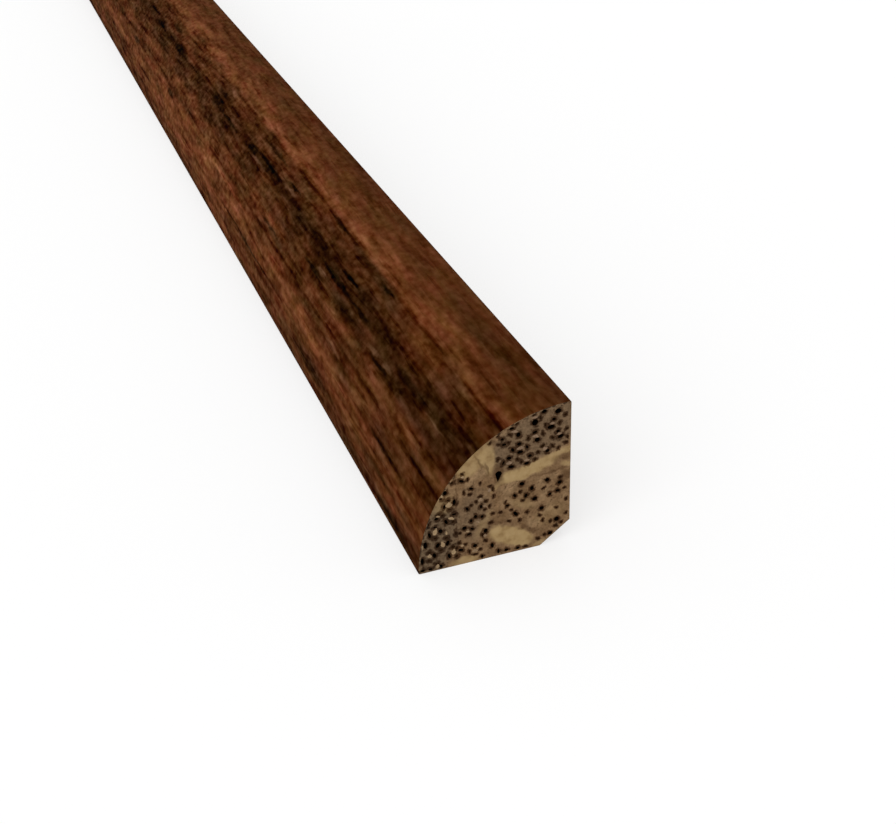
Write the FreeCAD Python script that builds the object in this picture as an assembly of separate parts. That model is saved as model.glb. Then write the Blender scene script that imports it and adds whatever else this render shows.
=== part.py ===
"""A quarter round floor moulding: one length of strand-pressed bamboo, milled to a quarter of a round bar.

It lies as it is fitted, with its flat underside on the floor, its flat back against the wall behind it and
its round face to the room. X runs along its length, Y points at the wall and Z points up. The origin is on
the floor, at the middle of the length and halfway between the toe and the wall. All sizes are in millimetres.
"""

import FreeCAD
import Part
import math
import os

# Driving dimensions
stock_length = 1828.8      # six feet, as the moulding is sold
face_radius = 19.05        # radius of the round face, and so the height of the back and the depth of the underside
relief_up_back = 2.8       # height that the cut-off corner takes from the back
relief_across_foot = 3.8   # depth that the same corner takes from the underside
arris_radius = 0.25        # sanded edge where the round face meets the back, and where it meets the underside

# Places that follow from them
wall_y = face_radius / 2
toe_y = wall_y - face_radius
end_x = stock_length / 2


def section_point(y, z):
    """A point of the milled section, on the end of the stock from which it is run out."""
    return FreeCAD.Vector(-end_x, y, z)


def milled_section():
    """The outline that the moulding cutter leaves: a quarter circle struck from the square corner, less that corner."""
    toe = section_point(toe_y, 0)
    crown = section_point(wall_y, face_radius)
    back_foot = section_point(wall_y, relief_up_back)
    foot_heel = section_point(wall_y - relief_across_foot, 0)
    half_turn = math.radians(45)
    face_middle = section_point(
        wall_y - face_radius * math.cos(half_turn),
        face_radius * math.sin(half_turn),
    )
    round_face = Part.Arc(toe, face_middle, crown).toShape()
    back = Part.makeLine(crown, back_foot)
    relief = Part.makeLine(back_foot, foot_heel)
    foot = Part.makeLine(foot_heel, toe)
    return Part.Face(Part.Wire([round_face, back, relief, foot]))


def long_edge_at(solid, y, z):
    """The edge that runs the whole length of the stock through this place of the section."""
    middle = FreeCAD.Vector(0, y, z)
    return min(solid.Edges, key=lambda edge: (edge.CenterOfMass - middle).Length)


def quarter_round():
    """The whole length, run out from its section, with the two arrises of the round face sanded off."""
    run = milled_section().extrude(FreeCAD.Vector(stock_length, 0, 0))
    show_edges = [
        long_edge_at(run, wall_y, face_radius),
        long_edge_at(run, toe_y, 0),
    ]
    return run.makeFillet(arris_radius, show_edges)


os.makedirs("parts", exist_ok=True)
quarter_round().exportStep("parts/quarter_round.step")
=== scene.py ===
"""The looks of a quarter round floor moulding of strand-pressed bamboo, stained on its round face.

It lies as it is fitted: X runs along it, Y points at the wall and Z points up, in metres. The section is
described from the square corner at the foot of the wall: u runs out over the floor, towards the toe of the
round face, and v runs up the wall, both in millimetres. The end that the camera sees is the +X one.
"""

import math
import random

import bpy
from mathutils import Euler, Matrix, Vector


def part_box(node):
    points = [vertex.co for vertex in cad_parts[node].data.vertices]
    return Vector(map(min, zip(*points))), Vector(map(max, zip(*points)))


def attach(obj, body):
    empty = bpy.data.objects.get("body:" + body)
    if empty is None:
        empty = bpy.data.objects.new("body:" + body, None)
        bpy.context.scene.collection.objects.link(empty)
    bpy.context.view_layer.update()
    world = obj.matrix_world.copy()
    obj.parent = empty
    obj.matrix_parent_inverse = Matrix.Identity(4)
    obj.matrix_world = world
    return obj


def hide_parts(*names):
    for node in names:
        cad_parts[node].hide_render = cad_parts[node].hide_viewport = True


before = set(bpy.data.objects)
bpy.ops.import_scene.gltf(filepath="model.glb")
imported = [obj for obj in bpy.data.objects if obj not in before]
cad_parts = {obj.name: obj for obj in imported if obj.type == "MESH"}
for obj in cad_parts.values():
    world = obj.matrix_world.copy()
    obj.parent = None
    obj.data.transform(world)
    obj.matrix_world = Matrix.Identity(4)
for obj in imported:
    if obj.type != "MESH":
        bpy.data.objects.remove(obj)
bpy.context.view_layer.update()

MM = 0.001
# Two places that are closer together than this, in metres, count as one
SAME_PLACE = 1e-6
# How far an edge may be off an arris, in metres, and still be taken for it
ARRIS_MISS = 1e-5

# The milled section, with the sizes of the solid
FACE_RADIUS = 19.05 * MM
RELIEF_UP_BACK = 2.8 * MM
RELIEF_ACROSS_FOOT = 3.8 * MM
ARRIS_RADIUS = 0.25 * MM
WALL_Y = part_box("quarter_round")[1].y
END_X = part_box("quarter_round")[1].x

# How the sawn ends stand: the fibre cores end highest, then the sheaths, and the ground lies lowest
FIBRE_PROUD = 0.03 * MM
SAWN_X = END_X - FIBRE_PROUD
SAWN_EASE = 0.05 * MM
SHEATH_PROUD = 0.014 * MM
SHEATH_FOOT = 0.007 * MM
# What is set in an end stays this far inside the section, and is drawn in by this share until it does
RIM = 0.06 * MM
DRAW_IN = 0.1

# How deep things go into the ends, and how far past them the cutting shapes begin, in millimetres
OPEN_DEPTH = 1.6
CLOSED_DEPTH = 0.12
CORE_DEPTH = 0.3
MOUTH_BEYOND = 0.2

# How far a sheath reaches past its vessel, in millimetres. It is thin round a closed one.
SHEATH_REACH = 0.38
THIN_SHEATH_REACH = 0.25
WIDER_BY_THE_CROWN = 0.06
TOE_SHEATH_REACH = 0.48

# The far end has the near end's spots, moved in millimetres, resized and turned in degrees by chance
DRIFT_SEED = 7
DRIFT = 0.12
DRIFT_SIZES = (0.85, 1.05)
DRIFT_TURN = 25

# The fineness of the mesh
ROUND_SIDES = 192
ARRIS_STEPS = 4
VESSEL_SIDES = 12
SMOOTH_BELOW = math.radians(25)

# How much of a face's normal lies along an axis where the face counts as looking that way
END_FACING = 0.95
BACK_FACING = 0.6
FOOT_FACING = 0.5
SQUARE_ON = 0.7
SLANTING = 0.3

# The flat map of the piece, a square that is measured in pixels. The long faces lie on it in three runs, and
# the scales are pixels per millimetre across them.
MAP_SIDE = 1024
MAP_GAP = 5
RUNS_ON_MAP = 3
ROUND_SCALE = 4.5
PLANED_SCALE = 2.8
END_SCALE = 12.2
VESSEL_SCALE = 14
VESSEL_PATCH = 60
# The walls of vessels and cores are drawn longer than they are, and the shallow ones more so
DEEP_STRETCH = 2
SHALLOW_STRETCH = 20
SHARED_PATCHES = (
    "open vessel wall", "open vessel floor", "closed vessel wall", "closed vessel floor", "core side",
)

# Where two of the strands begin on the sawn end: the toe's by its u, the crown's by its v
TOE_STRAND_FROM = 14
CROWN_STRAND_FROM = 11.5

# Seen on the sawn end. Each spot is u, v, half width, half height and a turn in degrees from u towards v.
OPEN_VESSELS = [
    # The upper strand, by the crown
    (4.47, 17.2, 0.4, 0.42, 0), (3.35, 18.38, 0.32, 0.24, -10), (1.65, 18.05, 0.4, 0.34, 0),
    (2.5, 16.15, 0.46, 0.28, 0), (1.3, 14.65, 0.4, 0.24, -17), (4.2, 14.85, 0.34, 0.31, 0),
    (4.5, 15.9, 0.33, 0.18, -12), (6.4, 14.8, 0.29, 0.23, 0), (6.3, 13.7, 0.38, 0.23, 0),
    (7.2, 14.2, 0.2, 0.3, -30), (7.65, 13.2, 0.3, 0.22, 10), (7.4, 12.0, 0.38, 0.21, 8),
    (8.35, 12.75, 0.13, 0.3, 25), (6.5, 16.05, 0.28, 0.31, 0), (7.3, 17.05, 0.33, 0.16, 0),
    (8.25, 15.15, 0.28, 0.15, 0), (2.95, 13.1, 0.28, 0.24, 0), (5.5, 12.0, 0.33, 0.2, 0),
    (1.65, 15.4, 0.23, 0.21, 0), (2.15, 17.1, 0.25, 0.2, 20), (5.1, 12.93, 0.24, 0.2, 0),
    (8.45, 15.9, 0.2, 0.17, 0), (5.45, 14.2, 0.15, 0.26, -20),
    # The strand along the wall
    (6.1, 9.35, 0.35, 0.25, 18), (4.85, 8.45, 0.25, 0.3, 0), (2.95, 9.12, 0.29, 0.27, 20),
    (1.35, 8.4, 0.3, 0.24, -20), (1.6, 7.3, 0.3, 0.19, 10), (2.6, 7.05, 0.28, 0.2, -35),
    (4.5, 6.9, 0.34, 0.26, 0), (5.6, 7.6, 0.21, 0.29, 20), (7.0, 7.95, 0.18, 0.28, -30),
    (3.62, 5.35, 0.29, 0.27, 0), (1.7, 3.3, 0.33, 0.32, 0), (2.5, 1.5, 0.32, 0.27, 0),
    (6.9, 5.4, 0.22, 0.42, -38), (7.9, 6.8, 0.26, 0.17, 0),
    # The foot and the strand in the middle
    (9.85, 1.7, 0.2, 0.35, -10), (9.1, 0.65, 0.16, 0.34, 0), (8.1, 0.58, 0.27, 0.18, 0),
    (6.65, 0.45, 0.23, 0.2, 0), (10.65, 4.0, 0.26, 0.32, 0), (13.25, 5.05, 0.3, 0.26, 0),
    (11.85, 6.3, 0.21, 0.25, -20), (12.4, 5.85, 0.17, 0.25, 0), (12.85, 7.6, 0.16, 0.29, -30),
    (11.15, 7.5, 0.16, 0.25, 0), (12.0, 2.25, 0.28, 0.25, 0), (13.75, 2.1, 0.34, 0.19, 15),
    (11.15, 0.45, 0.16, 0.28, 0), (12.3, 10.25, 0.29, 0.16, 20), (13.45, 11.55, 0.33, 0.18, 28),
    (11.05, 6.1, 0.2, 0.2, 0), (12.3, 4.7, 0.27, 0.15, 28), (12.7, 4.05, 0.3, 0.15, -15),
    # The strand by the toe
    (14.4, 8.95, 0.2, 0.42, 0), (15.6, 8.6, 0.15, 0.3, 10), (16.6, 7.2, 0.26, 0.19, 0),
    (15.45, 6.5, 0.18, 0.38, -24), (17.5, 5.15, 0.18, 0.4, -15), (16.15, 5.4, 0.26, 0.31, -30),
    (18.05, 3.9, 0.24, 0.48, 0), (16.55, 3.5, 0.24, 0.36, 25), (15.35, 3.5, 0.22, 0.38, 15),
    (17.0, 2.2, 0.23, 0.38, -15), (18.5, 1.75, 0.21, 0.48, 0), (15.2, 1.65, 0.19, 0.38, -15),
    (16.25, 0.45, 0.22, 0.28, -15), (17.55, 0.38, 0.25, 0.17, 0), (18.5, 0.42, 0.28, 0.2, 0),
    (15.45, 10.45, 0.25, 0.31, 0), (14.45, 7.3, 0.28, 0.14, 0), (16.8, 6.1, 0.24, 0.11, 0),
]
# Vessels that are filled or pressed shut, which show brown
CLOSED_VESSELS = [
    (2.3, 14.7, 0.18, 0.28, -35), (3.5, 15.5, 0.13, 0.33, -10), (5.3, 15.3, 0.18, 0.24, 0),
    (6.65, 12.85, 0.16, 0.28, -25), (6.15, 12.35, 0.17, 0.22, 0), (4.45, 12.3, 0.19, 0.26, 20),
    (3.5, 13.88, 0.36, 0.18, -28), (4.1, 13.2, 0.18, 0.27, -30), (2.3, 13.6, 0.15, 0.36, -25),
    (1.6, 13.15, 0.13, 0.26, 15), (3.2, 16.6, 0.12, 0.3, 0), (3.8, 17.65, 0.13, 0.28, 0),
    (4.6, 18.2, 0.26, 0.12, -10), (1.45, 16.5, 0.14, 0.26, 20), (0.72, 17.4, 0.23, 0.18, 0),
    (0.5, 15.5, 0.24, 0.18, 0), (0.45, 14.4, 0.18, 0.28, 0), (0.6, 13.72, 0.26, 0.16, 0),
    (7.55, 16.28, 0.35, 0.13, 25), (6.7, 17.55, 0.3, 0.12, -25), (8.9, 15.3, 0.22, 0.1, 10),
    (7.72, 15.3, 0.16, 0.18, 0), (9.0, 16.45, 0.2, 0.11, -25), (9.95, 15.75, 0.12, 0.24, 0),
    (9.0, 13.35, 0.17, 0.17, 0), (1.3, 9.1, 0.24, 0.2, 0), (0.75, 7.5, 0.2, 0.18, 0),
    (6.0, 7.05, 0.22, 0.13, 20), (6.35, 8.3, 0.18, 0.2, 0), (3.4, 8.1, 0.26, 0.15, -20),
    (8.15, 7.3, 0.1, 0.24, 20), (7.4, 6.1, 0.26, 0.11, 30), (6.4, 4.4, 0.14, 0.28, 0),
    (5.45, 5.25, 0.18, 0.2, 20), (3.88, 4.4, 0.18, 0.26, -35), (3.5, 3.62, 0.15, 0.31, 0),
    (2.5, 3.2, 0.22, 0.19, 0), (1.8, 2.4, 0.33, 0.2, 20), (1.1, 2.72, 0.23, 0.24, 0),
    (3.25, 1.5, 0.23, 0.18, 0), (4.05, 1.1, 0.31, 0.18, 15), (0.5, 5.9, 0.22, 0.26, 0),
    (0.48, 3.9, 0.2, 0.2, 0), (1.75, 4.95, 0.24, 0.12, 30), (7.75, 4.6, 0.26, 0.17, 35),
    (8.75, 6.1, 0.26, 0.16, -20), (9.75, 6.2, 0.25, 0.16, 0), (9.95, 5.0, 0.3, 0.17, 0),
    (5.65, 0.42, 0.3, 0.17, 20), (9.6, 8.55, 0.12, 0.3, 0), (9.68, 9.55, 0.11, 0.38, 0),
    (10.0, 10.05, 0.24, 0.11, 0), (15.0, 8.1, 0.28, 0.11, 0), (15.1, 9.38, 0.24, 0.13, 0),
    (15.85, 7.5, 0.2, 0.17, 0), (16.25, 7.8, 0.22, 0.1, 0), (14.6, 6.3, 0.24, 0.17, 0),
    (17.6, 6.65, 0.11, 0.28, 0), (16.8, 4.6, 0.26, 0.17, 0), (15.5, 4.3, 0.28, 0.13, 0),
    (16.15, 2.75, 0.3, 0.15, 0), (17.6, 2.8, 0.33, 0.11, 0), (17.7, 1.65, 0.22, 0.17, 0),
    (14.7, 2.8, 0.28, 0.22, 0), (14.3, 1.4, 0.22, 0.24, 0), (16.7, 0.98, 0.32, 0.1, 0),
    (13.8, 4.5, 0.18, 0.2, 0), (14.3, 4.6, 0.12, 0.33, 0), (13.95, 3.15, 0.18, 0.23, 0),
    (13.15, 2.75, 0.22, 0.17, 0), (14.25, 2.5, 0.17, 0.22, 0), (12.7, 1.6, 0.17, 0.28, 0),
    (11.35, 1.6, 0.22, 0.22, 0), (11.95, 1.02, 0.38, 0.15, 0), (11.05, 3.55, 0.17, 0.3, 0),
    (10.68, 2.62, 0.15, 0.36, -35), (12.35, 8.0, 0.18, 0.2, 0), (10.55, 8.1, 0.23, 0.23, 0),
    (11.2, 8.92, 0.38, 0.13, 0), (11.72, 8.3, 0.15, 0.23, 0), (10.15, 7.35, 0.13, 0.28, 0),
    (10.7, 7.0, 0.24, 0.13, 0), (13.35, 12.48, 0.26, 0.14, 25), (12.7, 11.6, 0.13, 0.33, 0),
    (14.6, 11.6, 0.24, 0.17, 0), (16.0, 9.78, 0.26, 0.16, 20), (13.2, 9.9, 0.11, 0.33, 0),
    (12.5, 9.5, 0.33, 0.16, 15), (11.2, 10.75, 0.11, 0.28, 0),
]
# The dense pale middles of the bundles
FIBRE_CORES = [
    (6.25, 14.25, 0.48, 0.2, 0), (7.65, 12.58, 0.38, 0.22, 0), (5.5, 12.45, 0.38, 0.16, 0),
    (3.25, 13.45, 0.34, 0.24, -28), (4.4, 15.38, 0.45, 0.2, 18), (6.95, 16.6, 0.46, 0.18, 12),
    (2.35, 16.62, 0.36, 0.16, 0), (1.5, 15.05, 0.36, 0.15, -10), (4.5, 17.88, 0.36, 0.15, 0),
    (11.2, 8.48, 0.36, 0.23, -10), (12.0, 1.55, 0.4, 0.18, 0), (10.72, 3.38, 0.24, 0.18, 0),
    (13.58, 2.7, 0.22, 0.15, 15), (12.85, 4.5, 0.24, 0.14, 20), (10.1, 9.5, 0.2, 0.28, 0),
    (13.3, 12.05, 0.26, 0.14, 20), (15.05, 8.75, 0.42, 0.34, 0), (14.8, 6.85, 0.42, 0.18, 25),
    (16.8, 5.5, 0.29, 0.46, 20), (15.95, 3.5, 0.26, 0.42, -15), (17.6, 2.3, 0.26, 0.26, 0),
    (16.68, 0.6, 0.24, 0.28, 15), (14.65, 2.1, 0.28, 0.4, 12),
    (18.42, 3.7, 0.1, 0.3, 0), (15.45, 4.95, 0.13, 0.26, 0), (15.85, 10.1, 0.16, 0.18, 0),
    (11.6, 5.5, 0.3, 0.14, 30), (10.7, 7.5, 0.28, 0.14, 20), (16.4, 7.5, 0.26, 0.1, 10),
]
# A split between three strands, which narrows downwards
SPLIT = [(8.95, 11.4, 0.42, 0.4, 6)]


def point_on_section(u, v):
    """The Y and Z, in metres, of a place that is given in millimetres from the square corner."""
    return WALL_Y - u * MM, v * MM


# Shaping


def go_to(mode):
    bpy.ops.object.mode_set(mode=mode)


def start_shape():
    """Leaves edit mode and selects nothing, so that the next operator acts on its own piece alone."""
    if bpy.context.mode != "OBJECT":
        go_to("OBJECT")
    bpy.ops.object.select_all(action="DESELECT")


def take_up(piece):
    """The piece alone is selected and active."""
    start_shape()
    piece.select_set(True)
    bpy.context.view_layer.objects.active = piece


def apply_place(piece):
    take_up(piece)
    bpy.ops.object.transform_apply(location=True, rotation=True, scale=True)


def select_edges(piece, wanted):
    """In edit mode, selects the edges whose two ends satisfy the test."""
    bpy.ops.mesh.select_mode(type="EDGE")
    bpy.ops.mesh.select_all(action="DESELECT")
    go_to("OBJECT")
    points = [vertex.co for vertex in piece.data.vertices]
    for edge in piece.data.edges:
        start, end = (points[i] for i in edge.vertices)
        edge.select = wanted(start, end)
    go_to("EDIT")


def saw_off(place, outward):
    """In edit mode, takes off what lies outside the plane and closes the cut."""
    bpy.ops.mesh.select_all(action="SELECT")
    bpy.ops.mesh.bisect(
        plane_co=place, plane_no=outward, use_fill=True, clear_outer=True, threshold=SAME_PLACE
    )


def score(x):
    """In edit mode, cuts all the long faces across at this place, and leaves the shape as it is."""
    bpy.ops.mesh.select_all(action="SELECT")
    bpy.ops.mesh.bisect(plane_co=(x, 0, 0), plane_no=(1, 0, 0), threshold=SAME_PLACE)


def milled_bar():
    """A round bar, ripped to a quarter, with its hidden corner planed off and its arrises sanded."""
    start_shape()
    bpy.ops.mesh.primitive_cylinder_add(
        vertices=ROUND_SIDES,
        radius=FACE_RADIUS,
        depth=2 * SAWN_X,
        location=(0, WALL_Y, 0),
        rotation=(0, math.radians(90), 0),
    )
    bar = bpy.context.active_object
    bar.name = "moulding"
    apply_place(bar)
    go_to("EDIT")
    saw_off((0, WALL_Y, 0), (0, 1, 0))
    saw_off((0, 0, 0), (0, 0, -1))
    saw_off((0, WALL_Y, RELIEF_UP_BACK), (0, RELIEF_UP_BACK, -RELIEF_ACROSS_FOOT))
    toe = Vector((0, WALL_Y - FACE_RADIUS, 0))
    crown = Vector((0, WALL_Y, FACE_RADIUS))

    def is_arris(start, end):
        across = [Vector((0, p.y, p.z)) for p in (start, end)]
        return any(all((p - corner).length < ARRIS_MISS for p in across) for corner in (toe, crown))

    def is_sawn_edge(start, end):
        return abs(start.x - end.x) < SAME_PLACE and abs(start.x) > SAWN_X - SAME_PLACE

    select_edges(bar, is_arris)
    bpy.ops.mesh.bevel(offset=ARRIS_RADIUS, segments=ARRIS_STEPS, affect="EDGES")
    select_edges(bar, is_sawn_edge)
    bpy.ops.mesh.bevel(offset=SAWN_EASE, segments=1, affect="EDGES")
    for run in range(1, RUNS_ON_MAP):
        score(-END_X + 2 * END_X * run / RUNS_ON_MAP)
    go_to("OBJECT")
    return bar


def resize_where(piece, wanted, factors):
    """Scales the vertices that satisfy the test, from the middle of the piece's own axes."""
    take_up(piece)
    go_to("EDIT")
    bpy.ops.mesh.select_mode(type="VERT")
    bpy.ops.mesh.select_all(action="DESELECT")
    go_to("OBJECT")
    for vertex in piece.data.vertices:
        vertex.select = wanted(vertex.co)
    go_to("EDIT")
    bpy.ops.transform.resize(value=factors, center_override=(0, 0, 0))
    go_to("OBJECT")


def unit_plug(floor_share):
    """A plug of radius 1 with its mouth at z = 1 and its floor at z = 0, narrowed there to this share."""
    start_shape()
    bpy.ops.mesh.primitive_cylinder_add(vertices=VESSEL_SIDES, radius=1, depth=1, location=(0, 0, 0.5))
    plug = bpy.context.active_object
    apply_place(plug)
    resize_where(plug, lambda point: point.z < 0.5, (floor_share, floor_share, 1))
    return plug


def unit_wedge():
    """A plug whose lower half is drawn out to nearly three times its height and narrows as it goes."""
    middle, tip = -0.01, -2.2
    drawn_out, lower_share, tip_share = 2.8, 0.62, 0.4
    wedge = unit_plug(floor_share=0.8)
    resize_where(wedge, lambda point: point.y < middle, (lower_share, drawn_out, 1))
    resize_where(wedge, lambda point: point.y < tip, (tip_share, 1, 1))
    return wedge


def unit_core():
    """A plug that narrows upwards, as a bundle's core does between its vessels."""
    shoulder, upper_share, taller = 0.3, 0.6, 1.1
    core = unit_plug(floor_share=0.75)
    resize_where(core, lambda point: point.y > shoulder, (upper_share, taller, 1))
    return core


def unit_stud():
    """A low cone with its tip at z = 1 and its foot, of radius 1, at z = 0."""
    start_shape()
    bpy.ops.mesh.primitive_cone_add(
        vertices=VESSEL_SIDES, radius1=1, radius2=0, depth=1, location=(0, 0, 0.5)
    )
    stud = bpy.context.active_object
    apply_place(stud)
    return stud


def drifted(spots):
    """The same spots at the far end, where the strands have wandered a little."""
    chance = random.Random(DRIFT_SEED)
    for u, v, half_width, half_height, turn in spots:
        u += chance.uniform(-DRIFT, DRIFT)
        v += chance.uniform(-DRIFT, DRIFT)
        grow = chance.uniform(*DRIFT_SIZES)
        turn += chance.uniform(-DRIFT_TURN, DRIFT_TURN)
        yield u, v, half_width * grow, half_height * grow, turn


def set_in_ends(shape, spots, top_x, depth, finish):
    """Sets copies of the shape in both sawn ends, from top_x in metres to this depth in millimetres."""
    copies = []
    for side, its_spots in ((1, spots), (-1, drifted(spots))):
        for u, v, half_width, half_height, turn in its_spots:
            t = math.radians(turn)
            wide = Vector((0, -math.cos(t), math.sin(t))) * half_width * MM
            high = Vector((0, math.sin(t), math.cos(t))) * half_height * MM
            out = Vector((side * depth * MM, 0, 0))
            foot = Vector((side * (top_x - depth * MM), *point_on_section(u, v)))
            columns = (-side * wide, high, out, foot)
            copy = shape.copy()
            copy.data = shape.data.copy()
            copy.data.transform(Matrix(list(zip(*columns))).to_4x4())
            for vertex in copy.data.vertices:
                keep_on_section(vertex.co, foot)
            copy.data.materials.append(finish)
            bpy.context.collection.objects.link(copy)
            copies.append(copy)
    return copies


def room_round(point):
    """How far a point is inside the edges of the section, in metres."""
    out = WALL_Y - point.y
    past_relief = out * RELIEF_UP_BACK + point.z * RELIEF_ACROSS_FOOT
    past_relief -= RELIEF_UP_BACK * RELIEF_ACROSS_FOOT
    past_relief /= math.hypot(RELIEF_UP_BACK, RELIEF_ACROSS_FOOT)
    return min(out, point.z, FACE_RADIUS - math.hypot(out, point.z), past_relief)


def keep_on_section(point, middle):
    """Draws a point in towards the middle of its shape until it is clear of the edges of the section."""
    while room_round(point) < RIM:
        point.y += DRAW_IN * (middle.y - point.y)
        point.z += DRAW_IN * (middle.z - point.z)


def joined(copies, name):
    """The copies as one piece of this name."""
    start_shape()
    for copy in copies:
        copy.select_set(True)
    bpy.context.view_layer.objects.active = copies[0]
    bpy.ops.object.join()
    copies[0].name = name
    return copies[0]


def work_with(bar, tool, operation):
    """Adds the tool's shape to the bar, or cuts it out, with the tool's finish on the new faces."""
    modifier = bar.modifiers.new(tool.name, "BOOLEAN")
    modifier.operation = operation
    modifier.object = tool
    modifier.solver = "EXACT"
    modifier.use_self = True
    modifier.material_mode = "TRANSFER"
    take_up(bar)
    bpy.ops.object.modifier_apply(modifier=modifier.name)
    bpy.data.objects.remove(tool)


def merge_doubles(piece):
    """Merges the vertices that the cuts have left on top of each other, so that no face is without area."""
    take_up(piece)
    go_to("EDIT")
    bpy.ops.mesh.select_all(action="SELECT")
    bpy.ops.mesh.remove_doubles(threshold=SAME_PLACE)
    go_to("OBJECT")


def give_finishes(bar, stained, planed, sawn):
    """The flats are planed and the ends are sawn. All the rest is stained, the arrises too."""
    for finish in (stained, planed, sawn):
        bar.data.materials.append(finish)
    for face in bar.data.polygons:
        n = face.normal
        if abs(n.x) > END_FACING:
            face.material_index = 2
        elif n.y > BACK_FACING or n.z < -FOOT_FACING:
            face.material_index = 1
        else:
            face.material_index = 0


def across_section(point, part):
    """How far a point of a long face is across that face, in millimetres."""
    out, up = (WALL_Y - point.y) / MM, point.z / MM
    if part == "round":
        return math.atan2(out, up) * FACE_RADIUS / MM
    if part == "back":
        return up - RELIEF_UP_BACK / MM
    if part == "relief":
        return math.hypot(out, RELIEF_UP_BACK / MM - up)
    return out - RELIEF_ACROSS_FOOT / MM


def part_of(face, finish):
    """The part of the flat map that a face belongs to."""
    n = face.normal
    if "vessel" in finish:
        return finish + (" floor" if abs(n.x) > SQUARE_ON else " wall")
    if finish == "fibre core" and abs(n.x) < SQUARE_ON:
        return "core side"
    if abs(n.x) > SLANTING:
        return "near end" if n.x > 0 else "far end"
    if finish == "stained bamboo":
        return "round"
    if n.y > SQUARE_ON:
        return "back"
    return "relief" if n.y > SLANTING else "foot"


def lay_out_map(piece):
    """Lays all faces on one flat map, through which the piece's patterns can be baked.

    The long faces are rows, the ends are squares, and the vessels share small patches.
    """
    scales = {"round": ROUND_SCALE, "back": PLANED_SCALE, "relief": PLANED_SCALE, "foot": PLANED_SCALE}
    widths = {
        "round": FACE_RADIUS * math.pi / 2,
        "back": FACE_RADIUS - RELIEF_UP_BACK,
        "relief": math.hypot(RELIEF_UP_BACK, RELIEF_ACROSS_FOOT),
        "foot": FACE_RADIUS - RELIEF_ACROSS_FOOT,
    }
    rows = {}
    top = MAP_GAP
    for run in range(RUNS_ON_MAP):
        for part, width in widths.items():
            rows[run, part] = top
            top += width / MM * scales[part] + MAP_GAP
    end_side = FACE_RADIUS / MM * END_SCALE
    corners = {"near end": MAP_GAP, "far end": 2 * MAP_GAP + end_side}
    middles = {}
    for place, part in enumerate(SHARED_PATCHES):
        middles[part] = 3 * MAP_GAP + 2 * end_side + (place + 0.5) * (VESSEL_PATCH + MAP_GAP)
    run_length = 2 * END_X / RUNS_ON_MAP
    places = piece.data.uv_layers.new(name="OFBake").data
    for face in piece.data.polygons:
        n, middle = face.normal, face.center
        part = part_of(face, piece.data.materials[face.material_index].name)
        run = min(int((middle.x + END_X) / run_length), RUNS_ON_MAP - 1)
        sideways = n.cross(Vector((1, 0, 0)))
        for corner in face.loop_indices:
            point = piece.data.vertices[piece.data.loops[corner].vertex_index].co
            from_middle = (point - middle) / MM
            if part in widths:
                x = MAP_GAP + (point.x + END_X - run * run_length) / run_length * (MAP_SIDE - 2 * MAP_GAP)
                y = rows[run, part] + across_section(point, part) * scales[part]
            elif part in corners:
                x = corners[part] + (WALL_Y - point.y) / MM * END_SCALE
                y = top + point.z / MM * END_SCALE
            else:
                flat = (from_middle.x, from_middle.dot(sideways))
                stretch = DEEP_STRETCH
                if "floor" in part:
                    flat, stretch = from_middle.yz, 1
                elif part in ("closed vessel wall", "core side"):
                    stretch = SHALLOW_STRETCH
                x = middles[part] + flat[0] * VESSEL_SCALE * stretch
                y = top + VESSEL_PATCH / 2 + flat[1] * VESSEL_SCALE
            places[corner].uv = (x / MAP_SIDE, y / MAP_SIDE)


def sheath_spots():
    """The spots of the dark sheaths: low cones that are wider than their vessels, most so by the toe."""
    below = 1 + SHEATH_FOOT / SHEATH_PROUD
    for vessels, usual_reach in ((OPEN_VESSELS, SHEATH_REACH), (CLOSED_VESSELS, THIN_SHEATH_REACH)):
        for u, v, half_width, half_height, turn in vessels:
            reach = usual_reach
            if u > TOE_STRAND_FROM:
                reach = TOE_SHEATH_REACH
            elif v > CROWN_STRAND_FROM:
                reach += WIDER_BY_THE_CROWN
            yield u, v, (half_width + reach) * below, (half_height + reach) * below, turn


# Finishes


def shade(red, green, blue):
    """A colour as it shows on a screen, from 0 to 255, as the linear one that the shaders take."""
    shown = (channel / 255 for channel in (red, green, blue))
    return (*(c / 12.92 if c <= 0.04045 else ((c + 0.055) / 1.055) ** 2.4 for c in shown), 1)


# The power that turns steps that look even into linear light
EVEN_POWER = 2.2


def even_shade(red, green, blue):
    """The same in steps that look even, in which light or dark can be added alike to all three channels."""
    return (*(c ** (1 / EVEN_POWER) for c in shade(red, green, blue)[:3]), 1)


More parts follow.
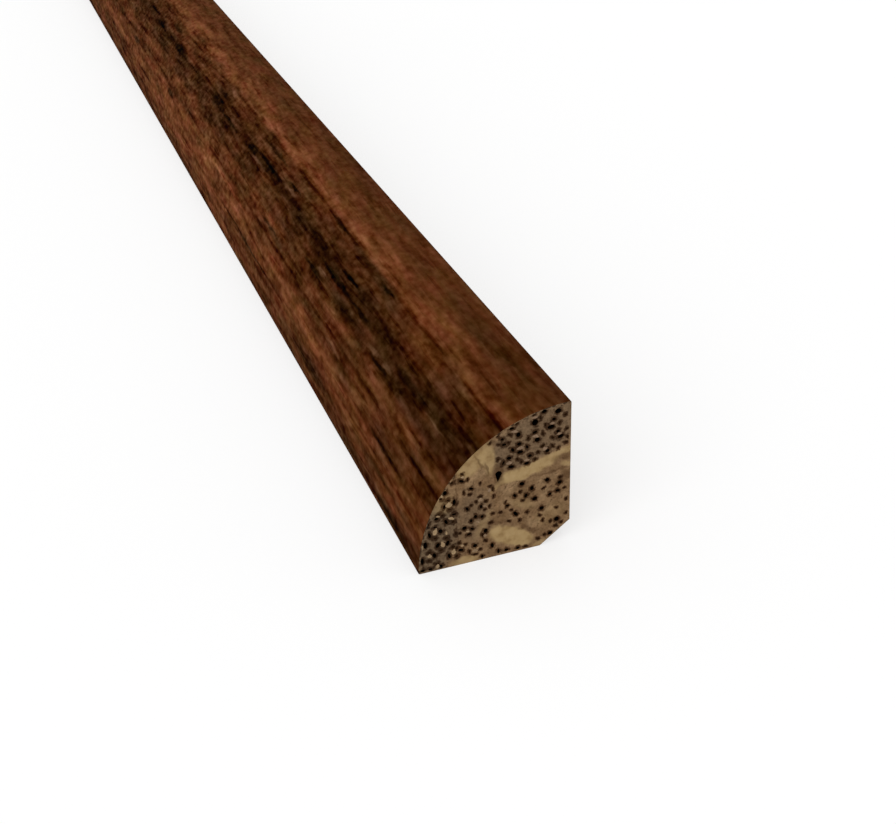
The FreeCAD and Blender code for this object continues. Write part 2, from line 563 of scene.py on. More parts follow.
class Bench:
    """A node tree under work: each call adds a step and gives its result."""

    def __init__(self, tree):
        self.tree = tree

    def step(self, kind, inputs=None, **settings):
        node = self.tree.nodes.new(kind)
        for name, value in settings.items():
            setattr(node, name, value)
        for name, value in (inputs or {}).items():
            self.feed(node.inputs[name], value)
        return node

    def feed(self, socket, value):
        if isinstance(value, bpy.types.NodeSocket):
            self.tree.links.new(value, socket)
        else:
            socket.default_value = value

    def math(self, operation, *values):
        node = self.step("ShaderNodeMath", operation=operation)
        for socket, value in zip(node.inputs, values):
            self.feed(socket, value)
        return node.outputs[0]

    def sum_of(self, first, *others):
        for other in others:
            first = self.math("ADD", first, other)
        return first

    def times(self, first, *others):
        for other in others:
            first = self.math("MULTIPLY", first, other)
        return first

    def swing(self, value, reach):
        """A value round 0.5, as a swing of this much to each side of 0."""
        return self.times(self.math("SUBTRACT", value, 0.5), 2 * reach)

    def ease(self, value, start, end, low=0.0, high=1.0):
        node = self.step("ShaderNodeMapRange", interpolation_type="SMOOTHSTEP")
        for socket, given in zip(node.inputs, (value, start, end, low, high)):
            self.feed(socket, given)
        return node.outputs[0]

    def place(self, x, y, z=0.0):
        return self.step("ShaderNodeCombineXYZ", {"X": x, "Y": y, "Z": z}).outputs[0]

    def stretched(self, along, around, long, wide, seed=0.0):
        """A place for a pattern whose features are this long and this wide."""
        return self.place(self.math("DIVIDE", along, long), self.math("DIVIDE", around, wide), seed)

    def noise(self, place, scale=1.0, detail=2.0, roughness=0.5):
        inputs = {"Vector": place, "Scale": scale, "Detail": detail, "Roughness": roughness}
        return self.step("ShaderNodeTexNoise", inputs).outputs["Fac"]

    def ramp(self, value, *stops):
        node = self.step("ShaderNodeValToRGB", {"Fac": value})
        elements = node.color_ramp.elements
        for element, (position, colour) in zip(elements, (stops[0], stops[-1])):
            element.position, element.color = position, colour
        for position, colour in stops[1:-1]:
            elements.new(position).color = colour
        return node.outputs["Color"]

    def blend(self, factor, under, over, kind="MIX"):
        """One colour over another. The colour sockets share their names with others, so they go by place."""
        node = self.step("ShaderNodeMix", data_type="RGBA", blend_type=kind, clamp_result=True)
        for index, value in ((0, factor), (6, under), (7, over)):
            self.feed(node.inputs[index], value)
        return node.outputs[2]

    def use(self, group, **given):
        """A step that is a node group. A name's underscores stand for spaces."""
        node = self.step("ShaderNodeGroup", node_tree=group)
        for name, value in given.items():
            self.feed(node.inputs[name.replace("_", " ").title()], value)
        return node.outputs

    def relief(self, height, depth):
        """A bump of this depth in metres."""
        inputs = {"Height": height, "Distance": depth, "Strength": 1.0}
        return self.step("ShaderNodeBump", inputs).outputs["Normal"]


def effect(name, inputs, outputs):
    """A node group with these number inputs and their usual values, and these outputs."""
    tree = bpy.data.node_groups.new(name, "ShaderNodeTree")
    for label, usual in inputs.items():
        socket = tree.interface.new_socket(label, in_out="INPUT", socket_type="NodeSocketFloat")
        socket.default_value = usual
    for label in outputs:
        tree.interface.new_socket(label, in_out="OUTPUT", socket_type="NodeSocketFloat")
    bench = Bench(tree)
    given = bench.step("NodeGroupInput").outputs
    return tree, bench, given, bench.step("NodeGroupOutput").inputs


def soft_spot():
    """An oval mask with a soft rim, at a place in two lengths."""
    inputs = {"Across": 0, "Up": 0, "Centre Across": 0, "Centre Up": 0}
    inputs |= {"Half Length": 1, "Half Width": 1, "Turn": 0, "Rim": 0.3}
    tree, bench, given, result = effect("soft spot", inputs, ["Mask"])
    x = bench.math("SUBTRACT", given["Across"], given["Centre Across"])
    y = bench.math("SUBTRACT", given["Up"], given["Centre Up"])
    cos = bench.math("COSINE", given["Turn"])
    sin = bench.math("SINE", given["Turn"])
    along = bench.sum_of(bench.times(x, cos), bench.times(y, sin))
    over = bench.math("SUBTRACT", bench.times(y, cos), bench.times(x, sin))
    along = bench.math("DIVIDE", along, given["Half Length"])
    over = bench.math("DIVIDE", over, given["Half Width"])
    squared = bench.sum_of(bench.math("POWER", along, 2), bench.math("POWER", over, 2))
    reach = bench.math("SQRT", squared)
    inner = bench.math("SUBTRACT", 1, given["Rim"])
    outer = bench.math("ADD", 1, given["Rim"])
    bench.feed(result["Mask"], bench.ease(reach, outer, inner))
    return tree


def bamboo_fibre():
    """Pressed fibre on a long face: broad streaks, single fibres, fine lines and the dark slits between.

    Along and Around are in millimetres, and Dash and Width are the size of one fibre.
    """
    inputs = {"Along": 0, "Around": 0, "Dash": 5, "Width": 0.42, "Seed": 0}
    tree, bench, given, result = effect("bamboo fibre", inputs, ["Streak", "Fibre", "Fine", "Slit"])
    along, seed = given["Along"], given["Seed"]
    sway = bench.noise(bench.stretched(along, given["Around"], 40, 9, seed), detail=1)
    around = bench.sum_of(given["Around"], bench.swing(sway, 0.8))
    far = bench.math("DIVIDE", along, given["Dash"])
    wide = bench.math("DIVIDE", around, given["Width"])
    broad = bench.place(bench.times(far, 0.7), bench.times(wide, 0.6), seed)
    bench.feed(result["Streak"], bench.noise(broad, detail=2, roughness=0.4))
    cells = bench.step("ShaderNodeTexVoronoi", {"Vector": bench.place(far, wide, seed), "Scale": 1.0})
    tones = bench.step("ShaderNodeSeparateColor", {"Color": cells.outputs["Color"]})
    bench.feed(result["Fibre"], tones.outputs[0])
    short = bench.place(bench.times(far, 3.2), bench.times(wide, 0.75), bench.sum_of(seed, 4))
    bench.feed(result["Fine"], bench.noise(short, detail=2, roughness=0.45))
    between = bench.place(bench.times(far, 0.6), bench.times(wide, 0.8), bench.sum_of(seed, 9))
    bench.feed(result["Slit"], bench.ease(bench.noise(between, detail=1), 0.6, 0.7))
    return tree


SOFT_SPOT = soft_spot()
BAMBOO_FIBRE = bamboo_fibre()


def new_finish(name):
    """A material, its bench and its Principled shader's inputs."""
    material = bpy.data.materials.new(name)
    material.use_nodes = True
    return material, Bench(material.node_tree), material.node_tree.nodes["Principled BSDF"].inputs


def on_the_stock(bench):
    """Distances in millimetres: from the near end, out from the wall plane, and up from the floor."""
    spot = bench.step("ShaderNodeTexCoord").outputs["Object"]
    axes = bench.step("ShaderNodeSeparateXYZ", {"Vector": spot}).outputs
    along = bench.times(bench.math("SUBTRACT", END_X, axes["X"]), 1 / MM)
    out = bench.times(bench.math("SUBTRACT", WALL_Y, axes["Y"]), 1 / MM)
    up = bench.times(axes["Z"], 1 / MM)
    return along, out, up


# The tone of the stain round the face, from the crown (0) to the toe (1): it takes darker on some strands
STAIN_BANDS = [
    (0.0, 0.57), (0.1, 0.6), (0.17, 0.65), (0.21, 0.74), (0.25, 0.78), (0.275, 0.72), (0.295, 0.56),
    (0.35, 0.52), (0.4, 0.46), (0.445, 0.35), (0.485, 0.43), (0.55, 0.48), (0.59, 0.62), (0.625, 0.61),
    (0.66, 0.52), (0.7, 0.61), (0.78, 0.73), (0.81, 0.62), (0.87, 0.57), (0.94, 0.57), (1.0, 0.45),
]
# Marks on the round face near the end that is seen: distance from that end, arc from the crown, half length,
# half width and how much darker, or lighter where it is below 0
MARKS = [
    # Broad ones, where a strand took the stain darker or lighter
    (24, 21.9, 27, 1.4, 0.1), (24, 16.0, 24, 0.8, 0.1), (21, 10.5, 7, 2.2, -0.12),
    (20, 24.8, 20, 0.6, -0.1), (11, 7.2, 13, 1.2, 0.1), (13, 3.2, 16, 1.4, 0.07),
    (16, 28.4, 16, 1.0, 0.08), (50, 15.6, 14, 0.7, 0.1), (150, 25.4, 45, 1.5, -0.15),
    (150, 21.4, 42, 1.2, -0.08), (128, 20.2, 28, 0.7, -0.12), (168, 12.0, 20, 0.8, -0.13),
    (174, 9.0, 24, 0.6, -0.16), (110, 28.4, 22, 0.9, -0.14), (46, 9.4, 9, 0.9, 0.13),
    (60, 10.7, 10, 0.8, 0.12), (12, 26.6, 5, 0.7, -0.16), (43, 26.6, 7, 0.7, 0.1),
    (116, 15.4, 10, 0.7, -0.15), (95, 14.0, 9, 0.5, -0.14), (76, 21.8, 8, 0.7, -0.13),
    (76, 18.6, 8, 0.7, 0.1),
    # Knots and dark slits
    (3, 14.0, 5, 0.4, 0.08), (18, 14.3, 6, 0.6, 0.22), (40, 9.4, 2.2, 0.35, 0.36),
    (40, 14.2, 4, 0.35, 0.25), (42, 12.2, 4, 0.9, 0.14), (28, 16.3, 3, 0.3, 0.25),
    (17, 22.5, 4, 0.3, 0.2), (10, 28.4, 5, 0.5, 0.24), (52, 14.2, 7, 0.4, 0.36),
    (49, 12.5, 4, 0.25, 0.26), (60, 16.2, 4, 0.3, 0.3), (64, 8.9, 4, 0.25, 0.25),
    (50, 26.6, 8, 1.0, 0.14), (84, 11.2, 3, 0.22, 0.25), (83, 18.4, 5, 0.22, 0.25),
    (86, 24.6, 9, 0.25, 0.28), (97, 12.4, 9, 0.45, 0.28), (108, 13.0, 2.8, 0.6, 0.36),
    (128, 13.6, 7, 0.28, 0.26), (138, 13.2, 4, 0.9, 0.22), (103, 24.4, 7, 0.22, 0.22),
    (166, 20.8, 3, 0.5, 0.36), (177, 13.3, 4, 0.6, 0.24), (188, 15.4, 7, 0.7, 0.18),
    (98, 10.0, 5, 0.35, 0.22), (138, 11.3, 3.5, 0.45, 0.24), (199, 13.2, 4, 0.6, 0.2),
    (188, 10.9, 4, 0.5, 0.24), (210, 20.8, 3, 0.5, 0.4),
    # Short light ones
    (48, 23.8, 3, 0.7, -0.16), (57, 22.0, 2, 0.7, -0.2), (112, 20.9, 15, 0.3, -0.2),
    (84, 17.5, 4, 0.4, -0.16),
]
# Painted glints: pale marks on single fibres of the round face, greyer than the strand that they lie in,
# where the varnish would catch the light. They are in the same terms as the marks
PAINTED_GLINTS = [
    (26, 15.6, 1.8, 0.35, -0.22), (32, 15.8, 2.2, 0.35, -0.26), (28, 17.8, 3, 0.3, -0.18),
    (9, 14.7, 3, 0.2, -0.16), (12, 18.0, 3, 0.3, -0.14), (29, 21.8, 2.5, 0.35, -0.12),
    (42, 20.7, 3, 0.35, -0.28), (57, 15.5, 2.5, 0.3, -0.28), (63, 9.5, 2, 0.2, -0.2),
    (84, 11.9, 2.2, 0.32, -0.34), (104, 13.6, 2.8, 0.26, -0.34), (134, 9.7, 2.5, 0.3, -0.2),
    (125, 12.7, 6, 0.3, -0.16), (113, 8.0, 6, 0.25, -0.14),
]
MARK_RIM = 0.55
# Seams between strands, all along the round face: arc from the crown, half width and how much darker
LONG_SEAMS = [(8.75, 0.24, 0.18), (12.4, 0.24, 0.18), (19.6, 0.2, 0.16), (24.5, 0.2, 0.16)]
ARC_LENGTH = FACE_RADIUS / MM * math.pi / 2
# How much a step of tone in the fine grain adds to red, green and blue: nearly the same to each, so that the
# fine grain is greyer than the strands. The grey of its light fibres is partly painted sheen.
GRAIN_SHEEN_RED, GRAIN_SHEEN_GREEN, GRAIN_SHEEN_BLUE = 0.42, 0.36, 0.34
# The stain from its darkest tone to its lightest
STAIN_SHADES = [
    (0.0, even_shade(14, 5, 0)), (0.2, even_shade(34, 15, 2)), (0.4, even_shade(56, 30, 10)),
    (0.6, even_shade(79, 42, 16)), (0.8, even_shade(105, 59, 30)), (1.0, even_shade(134, 83, 54)),
]
# A slow change of hue from strand to strand, from greener to redder
STAIN_HUES = [(0.35, (0.96, 1.02, 0.9, 1)), (0.65, (1.04, 0.97, 1.06, 1))]
STAIN_RELIEF = 0.06 * MM


def stained_bamboo():
    """The round face: dark stain that takes unevenly over pressed strands, under a thin satin varnish."""
    finish, bench, shader = new_finish("stained bamboo")
    along, out, up = on_the_stock(bench)
    around = bench.times(bench.math("ARCTAN2", out, up), FACE_RADIUS / MM)
    drift = bench.noise(bench.stretched(along, 0.0, long=70, wide=1.0, seed=3.0))
    wander = bench.times(bench.swing(drift, 1), bench.ease(along, start=180, end=700, low=0.8, high=7.0))
    ragged = bench.noise(bench.stretched(along, around, long=7, wide=2, seed=8.0), detail=2)
    strand = bench.math("DIVIDE", bench.sum_of(around, wander, bench.swing(ragged, 0.9)), ARC_LENGTH)
    band = bench.ramp(strand, *((place, (tone, tone, tone, 1)) for place, tone in STAIN_BANDS))
    fibre = bench.use(BAMBOO_FIBRE, along=along, around=around, dash=6.0, width=0.68, seed=1.0)
    blotch = bench.noise(bench.stretched(along, around, long=11, wide=2.4, seed=5.0), detail=2)
    fleck = bench.noise(bench.stretched(along, around, long=1.3, wide=1.0, seed=15.0), detail=2)
    calm_by_the_crown = bench.ease(around, start=3.0, end=9.0, low=0.75, high=1.15)
    calm_by_the_cut = bench.ease(along, start=20, end=90, low=0.82, high=0.96)
    calm = bench.times(calm_by_the_crown, calm_by_the_cut)
    grain = bench.times(calm, bench.sum_of(
        -0.02,
        bench.swing(fibre["Streak"], 0.28),
        bench.swing(fibre["Fibre"], 0.06),
        bench.swing(fibre["Fine"], 0.24),
        bench.swing(fleck, 0.21),
        bench.times(fibre["Slit"], -0.13),
    ))
    bend = bench.noise(bench.stretched(along, 0.0, long=24, wide=1.0, seed=30.0), detail=2)
    lane = bench.sum_of(around, wander, bench.swing(bend, 0.6))
    for arc, half_width, strength in LONG_SEAMS:
        off = bench.math("ABSOLUTE", bench.sum_of(lane, -arc))
        broken = bench.noise(bench.stretched(along, 0.0, long=12, wide=1.0, seed=arc), detail=2)
        there = bench.ease(broken, start=0.4, end=0.56)
        seam = bench.ease(off, start=1.7 * half_width, end=0.3 * half_width)
        grain = bench.math("SUBTRACT", grain, bench.times(seam, there, strength))
    by_the_cut = bench.ease(along, start=36, end=4, high=-0.05)
    tone = bench.sum_of(band, by_the_cut, bench.times(bench.swing(blotch, 0.3), calm))
    frayed = bench.noise(bench.stretched(along, around, long=3, wide=1, seed=40.0))
    frayed = bench.sum_of(around, bench.swing(frayed, 0.5))

    def marked(value, marks):
        for place, arc, half_length, half_width, strength in marks:
            mark = bench.use(
                SOFT_SPOT, across=along, up=frayed, centre_across=place, centre_up=arc,
                half_length=half_length, half_width=half_width, rim=MARK_RIM,
            )
            value = bench.math("SUBTRACT", value, bench.times(mark["Mask"], strength))
        return value

    tone = marked(tone, MARKS)
    # The pale marks that go into the grain are painted glints
    grain = marked(grain, PAINTED_GLINTS)
    colour = bench.ramp(tone, *STAIN_SHADES)
    hue = bench.stretched(along, around, long=8, wide=2.2, seed=11.0)
    tint = bench.ramp(bench.noise(hue, detail=3, roughness=0.65), *STAIN_HUES)
    colour = bench.blend(1.0, colour, tint, "MULTIPLY")
    # The grain goes on in grey: real fibre grain, with painted sheen on its light fibres
    grain_and_sheen = bench.place(*(bench.times(grain, share) for share in (GRAIN_SHEEN_RED, GRAIN_SHEEN_GREEN, GRAIN_SHEEN_BLUE)))
    colour = bench.blend(1.0, colour, grain_and_sheen, "ADD")
    colour = bench.step("ShaderNodeGamma", {"Color": colour, "Gamma": EVEN_POWER}).outputs[0]
    tone = bench.sum_of(tone, grain)
    bench.feed(shader["Base Color"], colour)
    bench.feed(shader["Roughness"], bench.ease(tone, start=0.2, end=0.8, low=0.6, high=0.45))
    shader["Specular IOR Level"].default_value = 0.0
    bench.feed(shader["Coat Weight"], bench.ease(tone, start=0.2, end=0.8, low=0.01, high=0.04))
    shader["Coat Roughness"].default_value = 0.35
    height = bench.sum_of(
        bench.swing(fibre["Fine"], 0.5), bench.swing(fibre["Streak"], 0.5), bench.times(fibre["Slit"], -0.8)
    )
    bench.feed(shader["Normal"], bench.relief(height, STAIN_RELIEF))
    return finish


# The planed strands from their darkest tone to their lightest, and the stain that ran over the arrises
PLANED_SHADES = [
    (0.0, shade(48, 32, 18)), (0.3, shade(88, 64, 40)), (0.6, shade(128, 98, 64)),
    (0.8, shade(152, 122, 82)), (1.0, shade(172, 144, 102)),
]
RUN_OVER_STAIN = shade(128, 96, 78)
PLANED_RELIEF = 0.08 * MM


def planed_bamboo():
    """The back, the underside and the planed-off corner: bare strands, with stain run over the arrises."""
    finish, bench, shader = new_finish("planed bamboo")
    along, out, up = on_the_stock(bench)
    around = bench.math("SUBTRACT", up, out)
    fibre = bench.use(BAMBOO_FIBRE, along=along, around=around, dash=9.0, width=0.5, seed=4.0)
    blotch = bench.noise(bench.stretched(along, around, long=60, wide=2.5, seed=2.0), detail=3)
    tone = bench.sum_of(
        0.55,
        bench.swing(fibre["Streak"], 0.4),
        bench.swing(fibre["Fibre"], 0.12),
        bench.swing(fibre["Fine"], 0.25),
        bench.swing(blotch, 0.4),
        bench.times(fibre["Slit"], -0.22),
    )
    colour = bench.ramp(tone, *PLANED_SHADES)
    ragged = bench.swing(fibre["Streak"], 1.6)
    from_crown = bench.sum_of(bench.math("SUBTRACT", FACE_RADIUS / MM, up), ragged)
    from_toe = bench.sum_of(bench.math("SUBTRACT", FACE_RADIUS / MM, out), ragged)
    stain = bench.ease(bench.math("MINIMUM", from_crown, from_toe), start=1.3, end=0.5)
    colour = bench.blend(stain, colour, bench.blend(1.0, colour, RUN_OVER_STAIN, "MULTIPLY"))
    bench.feed(shader["Base Color"], colour)
    bench.feed(shader["Roughness"], bench.ease(tone, start=0.2, end=0.8, low=0.75, high=0.62))
    shader["Specular IOR Level"].default_value = 0.1
    height = bench.sum_of(
        bench.swing(fibre["Fine"], 0.5), bench.swing(fibre["Streak"], 0.6), bench.times(fibre["Slit"], -0.9)
    )
    bench.feed(shader["Normal"], bench.relief(height, PLANED_RELIEF))
    return finish


# Soft patches on the sawn end. Each is u, v, half length, half width, turn in degrees, rim and strength.
DULL_STRANDS = [
    (4.0, 15.6, 6.6, 3.2, 25, 0.25, 0.85), (8.8, 14.2, 1.7, 0.7, 75, 0.5, 0.85),
    (12.2, 6.4, 3.4, 2.0, 90, 0.5, 0.75),
]
GREY_STRANDS = [(16.8, 4.2, 5.2, 2.4, 78, 0.25, 0.9), (14.2, 5.0, 3.6, 0.5, 88, 0.5, 0.5)]
PALE_PITH = [
    (6.0, 10.85, 3.0, 0.85, 8, 0.25, 1.0), (3.6, 11.6, 2.2, 0.75, 12, 0.3, 0.9),
    (0.6, 12.75, 1.6, 0.45, 14, 0.4, 0.8), (0.5, 10.75, 0.7, 0.35, 0, 0.5, 0.7),
    (12.2, 13.5, 2.1, 1.25, 45, 0.2, 0.78), (10.2, 13.7, 2.1, 0.85, 98, 0.3, 0.78),
    (9.1, 10.0, 1.3, 0.25, 50, 0.5, 0.6), (7.5, 2.45, 3.0, 1.25, -26, 0.18, 1.0),
    (13.2, 0.45, 1.7, 0.6, 0, 0.4, 0.85), (4.0, 0.4, 0.9, 0.4, 10, 0.5, 0.6),
    (15.9, 8.9, 1.3, 1.2, 60, 0.5, 0.45), (10.9, 5.0, 1.6, 0.5, 60, 0.6, 0.35),
    (6.0, 6.6, 1.5, 0.6, -20, 0.6, 0.35), (2.6, 4.3, 1.8, 1.2, 20, 0.6, 0.25),
]
BROWN_SEAMS = [
    (14.15, 7.6, 4.4, 0.1, 90, 0.6, 0.55), (11.1, 13.3, 1.2, 0.16, -60, 0.6, 0.5),
    (10.4, 12.4, 0.9, 0.16, -75, 0.6, 0.6), (5.2, 2.9, 1.1, 0.3, -40, 0.6, 0.55),
    (2.4, 10.1, 2.4, 0.2, 5, 0.6, 0.5), (1.0, 11.7, 1.2, 0.4, 5, 0.6, 0.4),
    (0.5, 9.2, 0.6, 0.5, 80, 0.6, 0.6), (8.6, 4.6, 1.7, 0.3, -12, 0.6, 0.45),
    (8.95, 11.4, 1.3, 0.6, 88, 0.5, 0.7),
]
# The colours of the sawn end: its ground and its pith, from dark to light, and what lies over them
GROUND_SHADES = [(0.35, shade(103, 79, 54)), (0.5, shade(115, 90, 64)), (0.65, shade(130, 105, 77))]
PITH_SHADES = [(0.3, shade(128, 102, 66)), (0.48, shade(148, 123, 84)), (0.7, shade(157, 132, 93))]
DULL_SHADE = shade(101, 82, 62)
GREY_SHADE = shade(94, 78, 60)
PORE_SHADE = shade(64, 43, 26)
BITTEN_SHADE = shade(40, 25, 14)
SEAM_SHADE = shade(66, 42, 22)
SPECKS = [(0.36, (0.66, 0.64, 0.6, 1)), (0.64, (1.3, 1.28, 1.26, 1))]
SHEATH_STAIN = (0.25, 0.18, 0.13, 1)
# In millimetres: the wobble of a patch's outline, and the reach at which the rim comes to be bitten away
PATCH_WOBBLE = 0.45
BITES_FROM, BITES_TO = FACE_RADIUS / MM - 0.25, FACE_RADIUS / MM + 0.05
SAWN_RELIEF = 0.04 * MM


def end_grain():
    """The sawn ends: strands cut across, with pith pressed between them and dark sheaths round vessels."""
    finish, bench, shader = new_finish("end grain")
    along, out, up = on_the_stock(bench)
    which_end = bench.times(along, MM)
    flat = bench.place(out, up, which_end)
    rough_out = bench.sum_of(out, bench.swing(bench.noise(flat, scale=1.1, detail=3), PATCH_WOBBLE))
    beside = bench.place(out, up, bench.sum_of(which_end, 7.0))
    rough_up = bench.sum_of(up, bench.swing(bench.noise(beside, scale=1.1, detail=3), PATCH_WOBBLE))

    def patched(colour, patches, over):
        for u, v, half_length, half_width, turn, rim, strength in patches:
            patch = bench.use(
                SOFT_SPOT, across=rough_out, up=rough_up, centre_across=u, centre_up=v,
                half_length=half_length, half_width=half_width, turn=-math.radians(turn), rim=rim,
            )
            colour = bench.blend(bench.times(patch["Mask"], strength), colour, over)
        return colour

    colour = bench.ramp(bench.noise(flat, scale=0.45, detail=3), *GROUND_SHADES)
    colour = patched(colour, DULL_STRANDS, DULL_SHADE)
    colour = patched(colour, GREY_STRANDS, GREY_SHADE)
    pore = bench.noise(flat, scale=2.3, detail=2, roughness=0.6)
    colour = bench.blend(bench.ease(pore, start=0.56, end=0.7, high=0.6), colour, PORE_SHADE)
    mottle = bench.noise(flat, scale=1.5, detail=3, roughness=0.6)
    fine = bench.noise(flat, scale=4.0, detail=3, roughness=0.65)
    speck = bench.times(bench.sum_of(mottle, fine), 0.5)
    colour = bench.blend(1.0, colour, bench.ramp(speck, *SPECKS), "MULTIPLY")
    reach = bench.math("SQRT", bench.sum_of(bench.times(out, out), bench.times(up, up)))
    reach = bench.sum_of(reach, bench.swing(bench.noise(beside, scale=2.0, detail=1), 0.9))
    bitten = bench.ease(reach, start=BITES_FROM, end=BITES_TO, high=0.85)
    colour = bench.blend(bitten, colour, BITTEN_SHADE)
    pale = bench.ramp(bench.noise(flat, scale=0.9, detail=3), *PITH_SHADES)
    colour = patched(colour, PALE_PITH, pale)
    colour = patched(colour, BROWN_SEAMS, SEAM_SHADE)
    beyond_near_end = bench.times(along, -1)
    beyond_far_end = bench.sum_of(along, -2 * END_X / MM)
    proud = bench.sum_of(bench.math("MAXIMUM", beyond_near_end, beyond_far_end), FIBRE_PROUD / MM)
    uneven = bench.swing(bench.noise(beside, scale=2.4, detail=2), 0.7 * SHEATH_PROUD / MM)
    uneven = bench.times(uneven, bench.ease(proud, start=0.0, end=0.1 * SHEATH_PROUD / MM))
    rise = bench.sum_of(proud, uneven)
    sheath = bench.ease(rise, start=0.02 * SHEATH_PROUD / MM, end=0.54 * SHEATH_PROUD / MM)
    colour = bench.blend(sheath, colour, SHEATH_STAIN, "MULTIPLY")
    bench.feed(shader["Base Color"], colour)
    shader["Roughness"].default_value = 0.75
    shader["Specular IOR Level"].default_value = 0.05
    bench.feed(shader["Normal"], bench.relief(speck, SAWN_RELIEF))
    return finish


def fibre_core():
    """The pale dense core of a bundle, dull by the wall and cream by the toe."""
    finish, bench, shader = new_finish("fibre core")
    _, out, up = on_the_stock(bench)
    grain = bench.noise(bench.place(out, up, 2.0), scale=3.0, detail=3)
    dull = bench.ramp(grain, (0.3, shade(102, 81, 62)), (0.7, shade(132, 108, 86)))
    cream = bench.ramp(grain, (0.3, shade(118, 98, 74)), (0.7, shade(160, 134, 100)))
    by_the_toe = bench.ease(out, start=9.0, end=15.0)
    bench.feed(shader["Base Color"], bench.blend(by_the_toe, dull, cream))
    shader["Roughness"].default_value = 0.65
    shader["Specular IOR Level"].default_value = 0.08
    return finish


def vessel_wall(name, mouth, inside, depth):
    """The inside of a vessel, from its colour at the mouth to a darker one at this depth in millimetres. The
    darkening with depth is painted shade.
    """
    finish, bench, shader = new_finish(name)
    along, out, up = on_the_stock(bench)
    from_far_end = bench.math("SUBTRACT", 2 * END_X / MM, along)
    deep = bench.math("DIVIDE", bench.math("MINIMUM", along, from_far_end), depth)
    speck = bench.noise(bench.place(out, up, 4.0), scale=4.0, detail=2)
    deep = bench.sum_of(deep, bench.swing(speck, 0.5))
    bench.feed(shader["Base Color"], bench.ramp(deep, (0.0, mouth), (1.0, inside)))
    shader["Roughness"].default_value = 0.9
    shader["Specular IOR Level"].default_value = 0.0
    return finish


def looked_at(bench):
    """1 for a ray from the camera, a reflection or a see-through surface, and 0 for light."""
    ray = bench.step("ShaderNodeLightPath").outputs
    seen = bench.sum_of(ray["Is Camera Ray"], ray["Is Glossy Ray"], ray["Is Transmission Ray"])
    return bench.math("MINIMUM", seen, 1.0)


# White paper, and the light of its own that it has where it is looked at, so that its shadow stays faint
PAPER_WHITE = (0.8, 0.8, 0.8, 1)
OWN_LIGHT = 1.2
OWN_LIGHT_SHARE = 0.5


def white_backdrop():
    finish, bench, _ = new_finish("white backdrop")
    paper = bench.step("ShaderNodeBsdfDiffuse", {"Color": PAPER_WHITE}).outputs[0]
    white = bench.step("ShaderNodeEmission", {"Strength": OWN_LIGHT}).outputs[0]
    mixed = bench.step("ShaderNodeMixShader", {"Fac": bench.times(looked_at(bench), OWN_LIGHT_SHARE)})
    bench.feed(mixed.inputs[1], paper)
    bench.feed(mixed.inputs[2], white)
    bench.feed(finish.node_tree.nodes["Material Output"].inputs["Surface"], mixed.outputs[0])
    finish.node_tree.nodes.remove(finish.node_tree.nodes["Principled BSDF"])
    return finish


stained = stained_bamboo()
planed = planed_bamboo()
sawn = end_grain()
core_fibre = fibre_core()
# Both kinds of vessel are painted darker with depth: painted shade in the holes
open_vessel = vessel_wall("open vessel", mouth=shade(24, 14, 5), inside=shade(3, 1, 0), depth=0.35)
closed_vessel = vessel_wall("closed vessel", mouth=shade(50, 31, 15), inside=shade(32, 18, 8), depth=0.2)

bar = milled_bar()
give_finishes(bar, stained, planed, sawn)
stud = unit_stud()
plug = unit_plug(floor_share=0.75)
core = unit_core()
wedge = unit_wedge()
mouth_x = END_X + MOUTH_BEYOND * MM

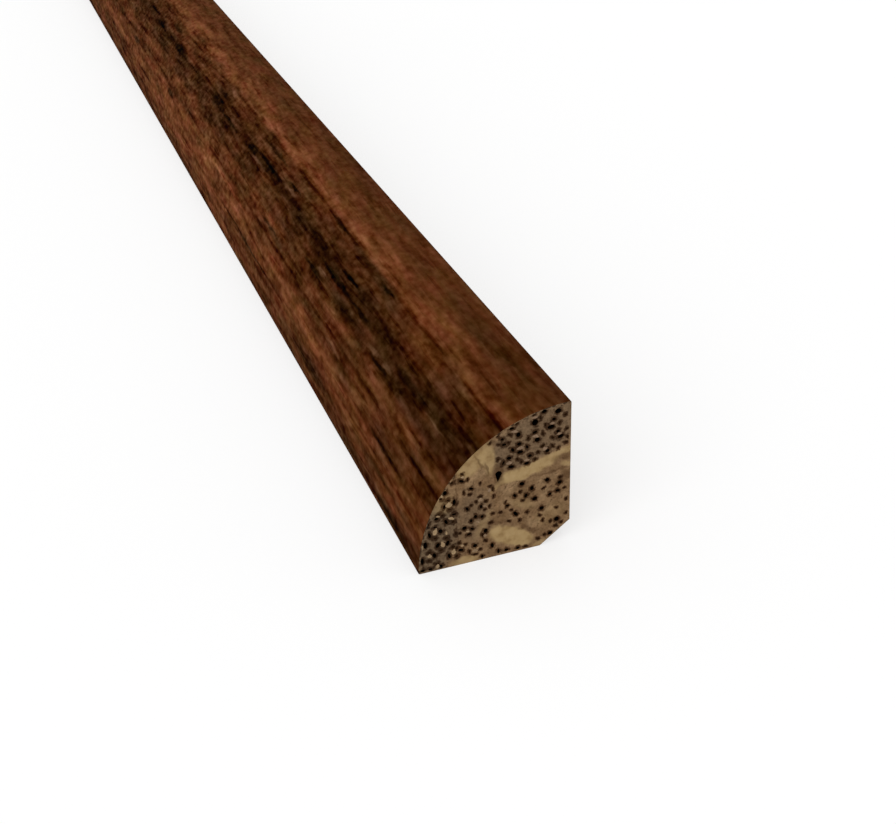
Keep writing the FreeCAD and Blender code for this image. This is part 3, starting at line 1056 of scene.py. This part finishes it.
sheath_depth = (SHEATH_PROUD + SHEATH_FOOT) / MM
studs = set_in_ends(stud, list(sheath_spots()), SAWN_X + SHEATH_PROUD, sheath_depth, sawn)
work_with(bar, joined(studs, "sheaths"), "UNION")
cores = set_in_ends(core, FIBRE_CORES, END_X, CORE_DEPTH, core_fibre)
work_with(bar, joined(cores, "cores"), "UNION")
vessels = set_in_ends(plug, OPEN_VESSELS, mouth_x, OPEN_DEPTH + MOUTH_BEYOND, open_vessel)
vessels += set_in_ends(wedge, SPLIT, mouth_x, OPEN_DEPTH + MOUTH_BEYOND, open_vessel)
vessels += set_in_ends(plug, CLOSED_VESSELS, mouth_x, CLOSED_DEPTH + MOUTH_BEYOND, closed_vessel)
work_with(bar, joined(vessels, "vessels"), "DIFFERENCE")
for shape in (stud, plug, core, wedge):
    bpy.data.objects.remove(shape)
merge_doubles(bar)
bpy.ops.object.shade_smooth_by_angle(angle=SMOOTH_BELOW)
lay_out_map(bar)

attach(bar, "root")
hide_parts("quarter_round")

# The floor, the light of the white room, and the sun that is the key light
FLOOR_SIDE = 12
ROOM_LIGHT = 0.78
KEY_LIGHT = 1.45
KEY_SPREAD = math.radians(60)
TOWARDS_KEY = Vector((0.3, -0.3, 0.25))

# The camera, from the corner where wall, floor and near end meet, with its turn in degrees
CAMERA_PLACE = Vector((123.69, -57.23, 98.0)) * MM
CAMERA_TURN = (59.47, 1.67, 70.07)
LENS = 56.05
FILM_WIDTH = 36
NEAREST_SEEN = 0.01

start_shape()
bpy.ops.mesh.primitive_plane_add(size=FLOOR_SIDE, location=(0, 0, 0))
floor = bpy.context.active_object
floor.name = "floor"
floor.data.materials.append(white_backdrop())

world = bpy.data.worlds.new("studio")
bpy.context.scene.world = world
world.use_nodes = True
room = Bench(world.node_tree)
sky = world.node_tree.nodes["Background"].inputs
sky["Color"].default_value = (1, 1, 1, 1)
room.feed(sky["Strength"], room.ease(looked_at(room), start=0, end=1, low=ROOM_LIGHT, high=1.0))

start_shape()
bpy.ops.object.light_add(type="SUN", rotation=TOWARDS_KEY.to_track_quat("Z", "Y").to_euler())
key = bpy.context.active_object
key.name = "key light"
key.data.energy = KEY_LIGHT
key.data.angle = KEY_SPREAD

camera_data = bpy.data.cameras.new("camera")
camera_data.lens = LENS
camera_data.sensor_width = FILM_WIDTH
camera_data.clip_start = NEAREST_SEEN
camera = bpy.data.objects.new("camera", camera_data)
camera.location = Vector((END_X, WALL_Y, 0)) + CAMERA_PLACE
camera.rotation_euler = Euler([math.radians(angle) for angle in CAMERA_TURN])
bpy.context.collection.objects.link(camera)
bpy.context.scene.camera = camera
bpy.context.scene.view_settings.view_transform = "Standard"
